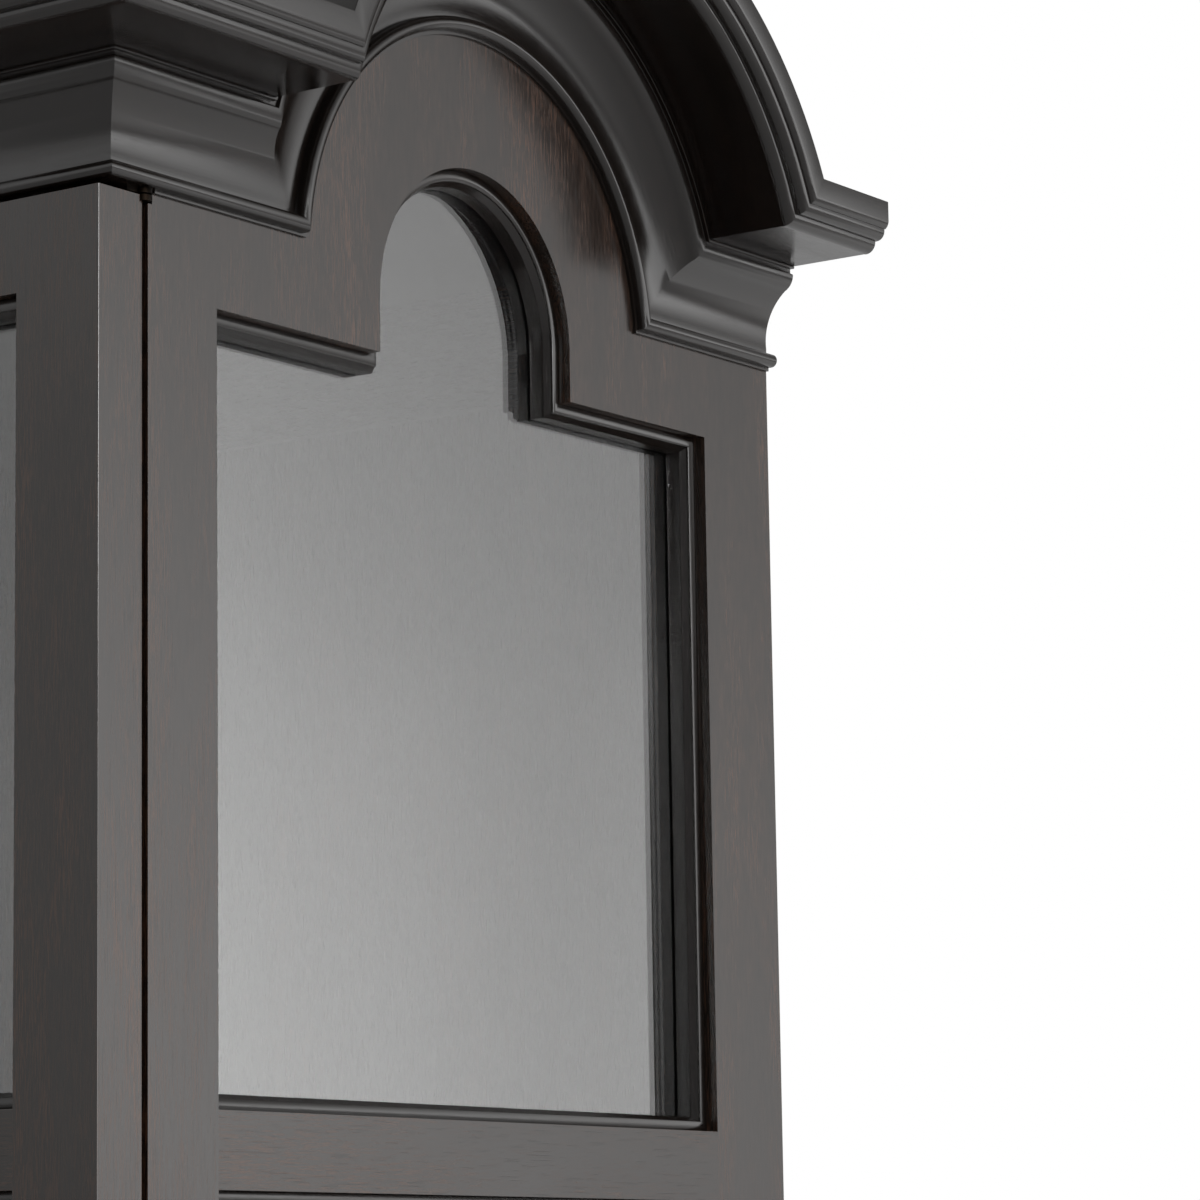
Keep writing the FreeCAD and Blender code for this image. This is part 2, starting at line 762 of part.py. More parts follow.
def door_leaves():
    """Leaves let into the door's ends, each with its pin."""
    lower = hinge_leaf(door_bottom)
    upper = hinge_leaf(door_top - hinge_leaf_thickness)
    y = face_y + pivot_depth
    pin_length = hinge_leaf_thickness + door_end_gap
    low_pin = rod(hinge_pin_radius, (pivot_x, y, plinth_height), (0, 0, 1), pin_length)
    high_pin = rod(hinge_pin_radius, (pivot_x, y, door_top - hinge_leaf_thickness),
                   (0, 0, 1), pin_length)
    return [lower.fuse(low_pin), upper.fuse(high_pin)]


def case_leaves():
    """Leaves on the plinth and under the frieze, bored for the pins."""
    leaves = []
    upper_z = door_top + door_end_gap - hinge_leaf_thickness
    for z0 in (plinth_height, upper_z):
        hole = rod(hinge_pin_radius + hinge_pin_clearance,
                   (pivot_x, face_y + pivot_depth, z0 - 1), (0, 0, 1),
                   hinge_leaf_thickness + 2)
        leaves += both(hinge_leaf(z0).cut(hole))
    return leaves


# ---- doors (the right one is drawn, the left one is its mirror image) --------------------------
def door_opening():
    return door_inner_x + door_stile, half_width - door_stile


def door_hinge_stile():
    x1 = half_width
    e = door_edge_ease
    y1 = frame_thickness
    outline = [V(x1 - door_stile, 0, 0), V(x1, 0, 0), V(x1, y1 - e, 0), V(x1 - e, y1, 0),
               V(x1 - door_stile, y1, 0), V(x1 - door_stile, 0, 0)]
    stile = Part.Face(Part.makePolygon(outline)).extrude(V(0, 0, door_top - door_bottom))
    stile.translate(V(0, face_y, door_bottom))
    return cut_all(stile, door_leaves())


def door_meeting_stile(with_lock):
    stile = to_front(box(door_inner_x, door_inner_x + door_stile, 0, frame_thickness,
                         door_bottom, door_top))
    if with_lock:
        return cut_all(stile, lock_spaces())
    keeper = lock_bolt_space(reach=lock_bolt_throw + 2 * lock_clearance)
    return stile.cut(mirrored(keeper)).cut(mirrored(flush_bolt_space()))


def door_bottom_rail():
    x0, x1 = door_opening()
    return to_front(box(x0, x1, 0, frame_thickness, door_bottom, first_opening))


def door_head():
    x0, x1 = door_opening()
    head = slab(headed(x0, x1, shoulder, door_top, door_arch_radius), 0, frame_thickness)
    return to_front(head.cut(slab(domed(x0, x1, top_opening), 0, frame_thickness)))


def knob():
    """Turned knob with a rose, on the door's meeting stile."""
    def at(radius, reach):
        return V(radius, -reach, 0)
    neck = knob_stem_radius
    rim = knob_radius
    rim_reach = knob_reach * knob_rim_share
    rise = knob_reach - rim_reach
    cap = (rim ** 2 + rise ** 2) / (2 * rise)
    slope = asin(rim / cap) / 2
    roll, foot = knob_rose_roll
    half = face_of(path([(0, 0), (knob_rose_radius, 0), (knob_rose_radius, knob_rose_edge),
                         ((knob_rose_radius - roll[0], roll[1]), (neck + foot[0], foot[1])),
                         (neck, knob_neck[0]), (neck, knob_neck[1]),
                         ((rim * knob_swell[0], knob_swell[1]), (rim, rim_reach)),
                         ((cap * sin(slope), knob_reach - cap * (1 - cos(slope))),
                          (0, knob_reach)), (0, 0)], at))
    turned = half.revolve(V(0, 0, 0), V(0, 1, 0), 360)
    turned.translate(V(door_inner_x + knob_inset, face_y, knob_z))
    return turned


# ---- lock on the right door, flush bolt on the left --------------------------------------------
def lock_body_block():
    middle = face_y + frame_thickness / 2
    return box(door_inner_x, door_inner_x + lock_case_depth,
               middle - lock_case_thickness / 2, middle + lock_case_thickness / 2,
               lock_z - lock_case_height / 2, lock_z + lock_case_height / 2)


def lock_bolt_space(reach):
    """Channel of the lock's bolt, from its tail to `reach` past the left door's edge."""
    middle = face_y + frame_thickness / 2
    c = lock_clearance
    return box(-door_inner_x - reach, door_inner_x + lock_bolt_length + c,
               middle - lock_bolt_thickness / 2 - c, middle + lock_bolt_thickness / 2 + c,
               lock_z + key_bow_radius - lock_bolt_height / 2 - c,
               lock_z + key_bow_radius + lock_bolt_height / 2 + c)


def lock_bolt():
    middle = face_y + frame_thickness / 2
    z = lock_z + key_bow_radius
    return box(door_inner_x, door_inner_x + lock_bolt_length,
               middle - lock_bolt_thickness / 2, middle + lock_bolt_thickness / 2,
               z - lock_bolt_height / 2, z + lock_bolt_height / 2)


def keyhole(radius, y0, y1):
    return rod(radius, (lock_x, y0, lock_z - key_bow_radius), (0, 1, 0), y1 - y0)


def lock_spaces():
    """What is cut out of the meeting stile for the lock."""
    front = keyhole(key_shaft_radius + keyhole_clearance, face_y - 1, face_y + frame_thickness / 2)
    return [lock_body_block(), front]


def lock_case():
    """Mortised lock body with the bolt's channel, and the escutcheon on the door's face."""
    body = lock_body_block().cut(lock_bolt_space(reach=0.0))
    body = body.cut(keyhole(key_shaft_radius + lock_clearance, face_y,
                            face_y + frame_thickness / 2 + lock_case_thickness / 2 - keyhole_wall))
    z0 = lock_z - key_bow_radius
    plate = rod(escutcheon_radius, (lock_x, face_y - escutcheon_thickness, z0), (0, 1, 0),
                escutcheon_thickness)
    plate = plate.cut(keyhole(key_shaft_radius + lock_clearance,
                              face_y - 2 * escutcheon_thickness, face_y))
    return [body, plate]


def key():
    """Key with a round shank, a collar and a pierced bow, in the lock."""
    z = lock_z - key_bow_radius
    end = face_y + frame_thickness / 2 + lock_case_thickness / 2 - keyhole_wall - keyhole_clearance
    start = face_y - key_reach
    shank = rod(key_shaft_radius, (lock_x, start + key_bow_radius, z), (0, 1, 0),
                end - start - key_bow_radius)
    collar_y = face_y - escutcheon_thickness - key_collar_gap - key_collar_length
    collar = rod(key_collar_radius, (lock_x, collar_y, z), (0, 1, 0), key_collar_length)
    bow_y = start + key_bow_radius
    bow = rod(key_bow_radius, (lock_x - key_bow_thickness / 2, bow_y, z), (1, 0, 0),
              key_bow_thickness)
    hole = rod(key_bow_radius * key_bow_hole_share, (lock_x - key_bow_thickness, bow_y, z),
               (1, 0, 0), 2 * key_bow_thickness)
    ring = bow.cut(hole)
    trimmed = shank.cut(hole)
    return trimmed.fuse([collar, ring]).removeSplitter()


def flush_bolt():
    """Sliding bolt let into the back of the left door's meeting stile, at its top."""
    x = -(door_inner_x + door_stile / 3)
    y1 = face_y + frame_thickness - flush_bolt_clearance
    top = door_top - flush_bolt_clearance
    return box(x - flush_bolt_width / 2, x + flush_bolt_width / 2, y1 - flush_bolt_thickness, y1,
               top - flush_bolt_length, top)


def flush_bolt_space():
    """Groove of the bolt in the door and its keeper in the frieze."""
    c = flush_bolt_clearance
    x = -(door_inner_x + door_stile / 3)
    y1 = face_y + frame_thickness
    return box(x - flush_bolt_width / 2 - c, x + flush_bolt_width / 2 + c,
               y1 - flush_bolt_thickness - 2 * c, y1 + c,
               door_top - flush_bolt_length - 2 * c, door_top + flush_bolt_throw + 2 * c)


def cut_all(shape, tools):
    for tool in tools:
        shape = shape.cut(tool)
    return shape


# ---- export ------------------------------------------------------------------------------------
def solids_of(thing):
    shapes = thing if isinstance(thing, list) else [thing]
    return [solid for shape in shapes for solid in shape.Solids]


def save(node, thing):
    solids = solids_of(thing)
    shape = solids[0] if len(solids) == 1 else Part.makeCompound(solids)
    shape.exportStep("parts/" + node + ".step")


def save_sides():
    parts = {"front_stile": side_stile_front(), "rear_stile": side_stile_rear(),
             "bottom_rail": side_bottom(), "arched_head": side_head()}
    for name, shape in parts.items():
        save("side_right_" + name, shape)
        save("side_left_" + name, mirrored(shape))
    mouldings, panes, beads, panel = glazing(side_panel_start, side_panel_end)
    for name, shapes in (("glazing_mouldings", mouldings), ("panes", panes),
                         ("pane_beads", beads), ("lower_panels", [panel]),
                         ("mid_rails", mid_rails(side_panel_start, side_panel_end))):
        save("side_" + name, [s for shape in shapes for s in both(to_right(shape))])


def save_doors():
    x0, x1 = door_opening()
    mouldings, panes, beads, panel = glazing(x0, x1)
    shared = {"bottom_rail": [door_bottom_rail()], "arched_head": [door_head()],
              "mid_rails": [to_front(r) for r in mid_rails(x0, x1)],
              "glazing_mouldings": [to_front(m) for m in mouldings],
              "panes": [to_front(p) for p in panes],
              "pane_beads": [to_front(b) for b in beads],
              "lower_panel": [to_front(panel)], "hinge_stile": [door_hinge_stile()],
              "hinge_leaves": door_leaves(), "knob": [knob()]}
    for name, shapes in shared.items():
        save("door_right_" + name, shapes)
        save("door_left_" + name, [mirrored(s) for s in shapes])
    save("door_right_meeting_stile", door_meeting_stile(True))
    save("door_left_meeting_stile", mirrored(door_meeting_stile(False)))
    save("lock_case", lock_case())
    save("lock_bolt", lock_bolt())
    save("lock_key", key())
    save("flush_bolt", flush_bolt())


def save_cornice():
    crown = crown_section()
    side = side_run(crown)
    save("crown_front", front_run(crown))
    save("crown_right", side)
    save("crown_left", [mirrored(s) for s in side])
    cove = cove_section()
    side = side_run(cove)
    save("cove_front", front_run(cove))
    save("cove_sides", side + [mirrored(s) for s in side])
    side = [s.cut(scribe_relief()) for s in side_run(astragal_section(True))]
    save("astragal", front_run(astragal_section(False)) + side + [mirrored(s) for s in side])


def save_case():
    panels = back_panels()
    save("back_panels", panels)
    save("back_stiles", grooved(back_stiles(), panels))
    save("back_rails", grooved(back_rails(), panels))
    save("front_frieze", front_frieze())
    save("front_head", front_head())
    save("hoods", hoods())
    save("roof_board", roof_board())
    save("shelves", shelves())
    save("shelf_pins", shelf_pins())
    save("bottom_board", bottom_board())
    save("centre_mullion", centre_mullion())
    save("plinth", plinth())
    save("base_moulding", base_moulding())
    save("glides", glides())
    save("case_hinge_leaves", case_leaves())


os.makedirs("parts", exist_ok=True)
save_sides()
save_doors()
save_cornice()
save_case()
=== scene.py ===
import json
import math

import bmesh
import bpy
import numpy as np
from mathutils import Matrix, Vector


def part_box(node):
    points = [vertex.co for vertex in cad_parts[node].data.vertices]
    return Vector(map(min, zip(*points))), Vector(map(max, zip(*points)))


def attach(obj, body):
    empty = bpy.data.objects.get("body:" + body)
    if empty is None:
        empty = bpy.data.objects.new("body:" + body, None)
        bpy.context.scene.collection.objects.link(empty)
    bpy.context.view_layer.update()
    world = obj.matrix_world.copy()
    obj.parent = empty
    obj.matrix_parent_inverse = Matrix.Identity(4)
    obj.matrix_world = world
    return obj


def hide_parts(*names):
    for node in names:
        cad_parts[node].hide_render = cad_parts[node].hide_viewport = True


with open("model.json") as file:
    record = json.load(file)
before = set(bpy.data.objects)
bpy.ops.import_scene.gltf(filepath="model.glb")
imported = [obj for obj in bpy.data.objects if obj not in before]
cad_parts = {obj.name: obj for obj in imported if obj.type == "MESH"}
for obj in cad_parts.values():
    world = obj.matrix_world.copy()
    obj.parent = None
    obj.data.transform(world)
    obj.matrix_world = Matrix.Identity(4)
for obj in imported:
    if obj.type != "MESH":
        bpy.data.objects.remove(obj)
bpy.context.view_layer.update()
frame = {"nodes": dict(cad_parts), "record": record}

# Glazed armoire in espresso-stained wood under satin lacquer. Metres, the same frame as the part:
# origin on the floor under the middle, doors towards -Y, +Z up.

# ---- places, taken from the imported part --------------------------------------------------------
HALF_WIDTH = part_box("side_right_rear_stile")[1].x
FACE_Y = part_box("door_right_hinge_stile")[0].y
BACK_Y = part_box("back_stiles")[1].y
CORNICE_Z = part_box("front_frieze")[0].z
PLINTH_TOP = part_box("base_moulding")[1].z
FIRST_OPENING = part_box("side_right_bottom_rail")[1].z
TOP_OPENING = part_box("side_mid_rails")[1].z
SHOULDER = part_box("side_right_arched_head")[0].z
SIDE_OPENING = (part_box("side_mid_rails")[0].y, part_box("side_mid_rails")[1].y)
DOOR_OPENING = (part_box("door_right_mid_rails")[0].x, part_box("door_right_mid_rails")[1].x)
DOOR_CENTRE = (DOOR_OPENING[0] + DOOR_OPENING[1]) / 2
SIDE_CENTRE = (SIDE_OPENING[0] + SIDE_OPENING[1]) / 2

# ---- sizes that the part's own source gives ----------------------------------------------------
TIERS = 4
MID_RAIL = 0.040
WALL_SETBACK = 0.009           # cornice wall behind the door faces
SEAT_DEPTH = 0.010             # cornice let into the frames
ARCH_RADIUS = 0.155            # of the cornice, at its underside
ARCH_DROP = 0.013              # arch centre below the cornice's underside
OPENING_RADIUS = 0.088
OPENING_RISE = 0.030           # shoulder up to the opening's arch centre
MOULDING_BACK = 0.022
ASTRAGAL = 0.008
CROWN_LOW, CROWN_TOP = 0.0605, 0.0904
SOFFIT, CROWN_REACH = 0.072, 0.090
BASE_HEIGHT, BASE_REACH = 0.034, 0.014
SCRIBE_START = FACE_Y + 0.04085
ARCH_STEPS = 56                # columns round one arch
ASTRAGAL_STEPS = 15

# ---- this model's own sizes --------------------------------------------------------------------
# glazing moulding: how far it stands in from the opening's edge, how deep behind the frame's face
ROLL_WIDTH, ROLL_DEPTH, ROLL_CREST = 0.0062, 0.0078, 0.0070
STEP_DEPTH, SLOPE_DEPTH = 0.0090, 0.0128
MOULDING_WIDTH = 0.0088

EDGE = 0.0015                  # softened arris of the frame members
STRIKE_EDGE = 0.0008           # and of the frieze, which fits close round the flush bolt
KEY_EDGE, CASE_EDGE = 0.0004, 0.0003
WELD = 2e-5                    # points nearer than this are one
FLAT_ANGLE = math.radians(0.6)       # faces this close to level with each other become one
ARRIS_ANGLE = math.radians(30)       # sharper edges than this are arrises
CORNER_COSINE = -0.94          # an outline's corner turns by more than 20 degrees


# ---- outlines ----------------------------------------------------------------------------------
def arc(start, middle, end, count):
    """Points on the circle through three points, from start to end, evenly spaced in angle."""
    (x1, y1), (x2, y2), (x3, y3) = start, middle, end
    d = 2 * (x1 * (y2 - y3) + x2 * (y3 - y1) + x3 * (y1 - y2))
    s1, s2, s3 = x1 * x1 + y1 * y1, x2 * x2 + y2 * y2, x3 * x3 + y3 * y3
    cx = (s1 * (y2 - y3) + s2 * (y3 - y1) + s3 * (y1 - y2)) / d
    cy = (s1 * (x3 - x2) + s2 * (x1 - x3) + s3 * (x2 - x1)) / d
    a1 = math.atan2(y1 - cy, x1 - cx)
    a2 = (math.atan2(y2 - cy, x2 - cx) - a1) % (2 * math.pi)
    a3 = (math.atan2(y3 - cy, x3 - cx) - a1) % (2 * math.pi)
    sweep = a3 if a2 < a3 else a3 - 2 * math.pi
    t = a1 + np.linspace(0, 1, count) * sweep
    radius = math.hypot(x1 - cx, y1 - cy)
    return np.column_stack([cx + radius * np.cos(t), cy + radius * np.sin(t)])


def softened(points, radius):
    """Closed outline whose sharp corners become short arcs: each corner P turns into the
    quadratic curve A(1-t)^2 + 2P t(1-t) + B t^2 between points A and B on its two sides."""
    p = np.asarray(points, float)
    before, after = np.roll(p, 1, 0) - p, np.roll(p, -1, 0) - p
    lb, la = np.linalg.norm(before, axis=1), np.linalg.norm(after, axis=1)
    cosine = np.einsum("ij,ij->i", before, after) / (lb * la)
    sharp = cosine > CORNER_COSINE
    cut = np.minimum(radius, 0.45 * np.minimum(lb, la)) * sharp
    a = p + before / lb[:, None] * cut[:, None]
    b = p + after / la[:, None] * cut[:, None]
    t = np.linspace(0, 1, 4)[None, :, None]
    curve = a[:, None] * (1 - t) ** 2 + 2 * p[:, None] * t * (1 - t) + b[:, None] * t ** 2
    keep = np.ones((len(p), 4), bool)
    keep[~sharp, 1:] = False
    return curve[keep]


def joined(*runs):
    """One outline from runs of points, without repeating shared ends."""
    out = [np.atleast_2d(np.asarray(runs[0], float))]
    for run in runs[1:]:
        run = np.atleast_2d(np.asarray(run, float))
        if np.allclose(out[-1][-1], run[0], atol=1e-7):
            run = run[1:]
        out.append(run)
    return np.vstack(out)


# ---- meshes from grids -------------------------------------------------------------------------
def grid_faces(columns, rows, closed):
    """Quads of a grid whose rows close on themselves; the columns close too if asked."""
    last = columns if closed else columns - 1
    i, j = np.meshgrid(np.arange(last), np.arange(rows), indexing="ij")
    i2, j2 = (i + 1) % columns, (j + 1) % rows
    quads = np.stack([i * rows + j, i2 * rows + j, i2 * rows + j2, i * rows + j2], -1)
    cell = np.stack([i, j], -1).reshape(-1, 2)
    return quads.reshape(-1, 4), cell


def sheet_of(grid, closed):
    """Vertices, quads, end caps and per-corner UVs of a tube given as columns x rows x 3.
    U is the length along the run in metres and V the length round the section in metres."""
    columns, rows = grid.shape[:2]
    quads, cell = grid_faces(columns, rows, closed)
    step_u = np.linalg.norm(np.diff(grid[:, 0], axis=0, append=grid[:1, 0]), axis=1)
    step_v = np.linalg.norm(np.diff(grid[0], axis=0, append=grid[0, :1]), axis=1)
    u = np.concatenate([[0], np.cumsum(step_u)])
    v = np.concatenate([[0], np.cumsum(step_v)])
    corner = np.array([[0, 0], [1, 0], [1, 1], [0, 1]])
    at = cell[:, None, :] + corner[None]
    uv = np.stack([u[at[..., 0]], v[at[..., 1]]], -1)
    caps = []
    if not closed:
        caps = [np.arange(rows), (columns - 1) * rows + np.arange(rows)[::-1]]
    return grid.reshape(-1, 3), quads, caps, uv


def signed_volume(points, quads):
    """Sum of tetrahedra from the origin to both halves of every quad."""
    a, b, c, d = (points[quads[:, k]] for k in range(4))
    return float((np.einsum("ij,ij->i", a, np.cross(b, c))
                  + np.einsum("ij,ij->i", a, np.cross(c, d))).sum())


def piece_from_grids(name, grids, closed, material, body, nodes, sharp=32.0):
    """Builds one object from tubes of quads, faces outwards, with its UVs and sharp mitres."""
    points, loops, sizes, uvs = [], [], [], []
    offset = 0
    for grid in grids:
        p, quads, caps, uv = sheet_of(grid, closed)
        centre = p.mean(0)
        if signed_volume(p - centre, quads) < 0:
            quads, uv = quads[:, ::-1], uv[:, ::-1]
            caps = [c[::-1] for c in caps]
        points.append(p)
        loops.append((quads + offset).ravel())
        sizes.append(np.full(len(quads), 4))
        uvs.append(uv.reshape(-1, 2))
        for cap in caps:
            loops.append(cap[::-1] + offset)
            sizes.append([len(cap)])
            middle = grid[0] - grid[0].mean(0)
            uvs.append(np.column_stack([middle[:, 2], middle[:, 0] + middle[:, 1]]))
        offset += len(p)
    points, loops = np.vstack(points), np.concatenate(loops).astype(np.int32)
    sizes, uvs = np.concatenate(sizes).astype(np.int32), np.vstack(uvs)
    mesh = bpy.data.meshes.new(name)
    mesh.vertices.add(len(points))
    mesh.vertices.foreach_set("co", points.astype(np.float32).ravel())
    mesh.loops.add(len(loops))
    mesh.loops.foreach_set("vertex_index", loops)
    mesh.polygons.add(len(sizes))
    starts = np.concatenate([[0], np.cumsum(sizes)[:-1]]).astype(np.int32)
    mesh.polygons.foreach_set("loop_start", starts)
    mesh.polygons.foreach_set("loop_total", sizes)
    mesh.update(calc_edges=True)
    layer = mesh.uv_layers.new(name="grain")
    layer.data.foreach_set("uv", uvs.astype(np.float32).ravel())
    mesh.polygons.foreach_set("use_smooth", np.ones(len(sizes), bool))
    mesh.set_sharp_from_angle(angle=math.radians(sharp))
    mesh.validate()
    mesh.materials.append(material)
    return settle(bpy.data.objects.new(name, mesh), body, nodes)


def settle(piece, body, nodes):
    """Links a piece, lets it ride on its body, and hides the parts it stands for."""
    bpy.context.scene.collection.objects.link(piece)
    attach(piece, body)
    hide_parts(*nodes)
    return piece


def merged(node, name, index=0):
    """A copy of a part's mesh with its triangles joined into whole faces."""
    shell = bmesh.new()
    shell.from_mesh(frame["nodes"][node].data)
    bmesh.ops.remove_doubles(shell, verts=shell.verts, dist=WELD)
    bmesh.ops.dissolve_limit(shell, angle_limit=FLAT_ANGLE, verts=shell.verts,
                             edges=shell.edges, use_dissolve_boundaries=False)
    mesh = bpy.data.meshes.new(name)
    shell.to_mesh(mesh)
    shell.free()
    mesh.materials.clear()
    mesh.polygons.foreach_set("material_index", np.full(len(mesh.polygons), index, np.int32))
    return mesh


def jointed(name, members, body, materials):
    """Frame members glued into one skin, so that no arris is eased where two meet flush.
    members are (node, index of its material)."""
    meshes = [merged(node, node + "_member", index) for node, index in members]
    for mesh in meshes:
        for material in materials:
            mesh.materials.append(material)
    objects = [bpy.data.objects.new(mesh.name, mesh) for mesh in meshes]
    for item in objects:
        bpy.context.scene.collection.objects.link(item)
    whole = objects[0]
    for other in objects[1:]:
        union = whole.modifiers.new("glue", "BOOLEAN")
        union.operation = "UNION"
        union.solver = "EXACT"
        union.object = other
    skin = bpy.data.meshes.new_from_object(
        whole.evaluated_get(bpy.context.evaluated_depsgraph_get()))
    for item in objects:
        bpy.data.objects.remove(item)
    shell = bmesh.new()
    shell.from_mesh(skin)
    bmesh.ops.remove_doubles(shell, verts=shell.verts, dist=WELD)
    bmesh.ops.dissolve_limit(shell, angle_limit=FLAT_ANGLE, verts=shell.verts,
                             edges=shell.edges, use_dissolve_boundaries=False,
                             delimit={"MATERIAL"})
    shell.to_mesh(skin)
    shell.free()
    skin.name = name
    return rounded(skin, name, body, [node for node, _ in members], EDGE,
                   len(materials) - 1)


def eased(node, body, material, edge_material, width=EDGE):
    """A merged copy of a part's mesh whose arrises are rounded with a small bevel."""
    mesh = merged(node, node + "_eased")
    mesh.materials.append(material)
    mesh.materials.append(edge_material)
    return rounded(mesh, node + "_eased", body, [node], width, 1)


def rounded(mesh, name, body, nodes, width, arris_index):
    """Puts a mesh in place with softened arrises."""
    mesh.polygons.foreach_set("use_smooth", np.ones(len(mesh.polygons), bool))
    mesh.set_sharp_from_angle(angle=ARRIS_ANGLE)
    piece = settle(bpy.data.objects.new(name, mesh), body, nodes)
    bevel = piece.modifiers.new("arris", "BEVEL")
    bevel.width = width
    bevel.segments = 2
    bevel.limit_method = "ANGLE"
    bevel.angle_limit = ARRIS_ANGLE
    bevel.harden_normals = True
    bevel.material = arris_index
    return piece


# ---- finishes ----------------------------------------------------------------------------------
MIX_A, MIX_B, MIX_RESULT = 6, 7, 2   # sockets of a Mix node that blends colours
LACQUER_IOR, GLASS_IOR = 1.5, 1.5


class Shader:
    """Small helper that wires a material's nodes."""

    def __init__(self, name):
        self.material = bpy.data.materials.new(name)
        self.material.use_nodes = True
        self.tree = self.material.node_tree
        self.tree.nodes.clear()
        self.out = self.add("ShaderNodeOutputMaterial")
        self.surface = self.add("ShaderNodeBsdfPrincipled")
        self.link(self.surface.outputs[0], self.out.inputs["Surface"])

    def add(self, kind, **settings):
        node = self.tree.nodes.new(kind)
        for key, value in settings.items():
            setattr(node, key, value)
        return node

    def link(self, start, end):
        self.tree.links.new(start, end)

    def coordinates(self, kind, scale, shift=(0, 0, 0)):
        """Object or UV coordinates, stretched so that the grain runs along one axis; Round is
        level length x + y, which runs on round an upright corner."""
        source = self.add("ShaderNodeTexCoord")
        place = source.outputs["Object" if kind == "Round" else kind]
        if kind == "Round":
            apart = self.add("ShaderNodeSeparateXYZ")
            self.link(place, apart.inputs[0])
            level = self.add("ShaderNodeCombineXYZ")
            self.link(self.math("ADD", apart.outputs["X"], apart.outputs["Y"]),
                      level.inputs["X"])
            self.link(apart.outputs["Z"], level.inputs["Z"])
            place = level.outputs[0]
        mapping = self.add("ShaderNodeMapping")
        mapping.inputs["Scale"].default_value = scale
        mapping.inputs["Location"].default_value = shift
        self.link(place, mapping.inputs["Vector"])
        return mapping.outputs[0]

    def noise(self, vector, detail=2, roughness=0.5, distortion=0.0):
        node = self.add("ShaderNodeTexNoise")
        node.inputs["Scale"].default_value = 1.0
        node.inputs["Detail"].default_value = detail
        node.inputs["Roughness"].default_value = roughness
        node.inputs["Distortion"].default_value = distortion
        self.link(vector, node.inputs["Vector"])
        return node.outputs["Fac"]

    def ramp(self, value, low, high, out_low=0.0, out_high=1.0):
        node = self.add("ShaderNodeMapRange")
        node.interpolation_type = "SMOOTHSTEP"
        node.inputs["From Min"].default_value = low
        node.inputs["From Max"].default_value = high
        node.inputs["To Min"].default_value = out_low
        node.inputs["To Max"].default_value = out_high
        self.link(value, node.inputs["Value"])
        return node.outputs[0]

    def math(self, operation, a, b):
        node = self.add("ShaderNodeMath", operation=operation)
        for socket, value in zip(node.inputs, (a, b)):
            if isinstance(value, (int, float)):
                socket.default_value = value
            else:
                self.link(value, socket)
        return node.outputs[0]

    def mix(self, factor, a, b):
        node = self.add("ShaderNodeMix", data_type="RGBA")
        self.link(factor, node.inputs["Factor"])
        for socket, value in ((MIX_A, a), (MIX_B, b)):
            if isinstance(value, tuple):
                node.inputs[socket].default_value = (*value, 1.0)
            else:
                self.link(value, node.inputs[socket])
        return node.outputs[MIX_RESULT]

    def bump(self, height, distance, strength=1.0):
        node = self.add("ShaderNodeBump")
        node.inputs["Distance"].default_value = distance
        node.inputs["Strength"].default_value = strength
        self.link(height, node.inputs["Height"])
        self.link(node.outputs[0], self.surface.inputs["Normal"])


def stretched(kind, along, across):
    """Scale that is small along the grain and large across it."""
    return {"X": (along, across, across), "Y": (across, along, across),
            "Z": (across, across, along), "UV": (along, across, across),
            "Round": (along, across, across)}[kind]


def scaled(colour, factor):
    """A darker or lighter shade of the same colour."""
    return tuple(factor * c for c in colour)


def stained_wood(name, grain, dark, warm, rub=0.0, roughness=0.18, shine=0.34):
    """Espresso-stained wood: long warm streaks over a near-black ground, fine fibres, short
    dark pores and a broad change of tone, all drawn out along the grain, under satin lacquer."""
    s = Shader(name)
    source = grain if grain in ("UV", "Round") else "Object"

    def drawn_out(along, across, shift=(0, 0, 0), **character):
        """Noise with that many waves to a metre along the grain and across it."""
        return s.noise(s.coordinates(source, stretched(grain, along, across), shift),
                       **character)
    streaks = drawn_out(4.5, 26, detail=5, roughness=0.66, distortion=0.5)
    fibres = drawn_out(95, 1250, (3, 5, 7), detail=3, roughness=0.6)
    broad = drawn_out(0.9, 6, (9, 2, 4), detail=2, distortion=0.8)
    pores = drawn_out(34, 1150, (1, 8, 6), detail=2)
    warmth = s.math("MULTIPLY", s.ramp(streaks, 0.38, 0.74, 0.10, 1.0),
                    s.ramp(fibres, 0.44, 0.66, 0.10, 1.0))
    warmth = s.math("MULTIPLY", warmth, s.ramp(broad, 0.32, 0.68, 0.35, 1.0))
    warmth = s.math("ADD", warmth, rub)
    ground = s.mix(s.ramp(fibres, 0.3, 0.7), scaled(dark, 0.72), scaled(dark, 1.22))
    colour = s.mix(warmth, ground, warm)
    pitted = s.ramp(pores, 0.62, 0.70)
    colour = s.mix(s.math("MULTIPLY", pitted, 0.6), colour, scaled(dark, 0.35))
    s.link(colour, s.surface.inputs["Base Color"])
    gloss = s.math("ADD", s.ramp(streaks, 0.3, 0.7, -0.03, 0.03),
                   s.ramp(fibres, 0.25, 0.75, roughness - 0.035, roughness + 0.045))
    s.link(gloss, s.surface.inputs["Roughness"])
    relief = s.math("SUBTRACT", s.math("MULTIPLY", fibres, 0.6),
                    s.math("MULTIPLY", pitted, 0.5))
    s.bump(relief, distance=0.00005, strength=0.4)
    s.surface.inputs["IOR"].default_value = LACQUER_IOR
    s.surface.inputs["Specular IOR Level"].default_value = shine
    return s.material


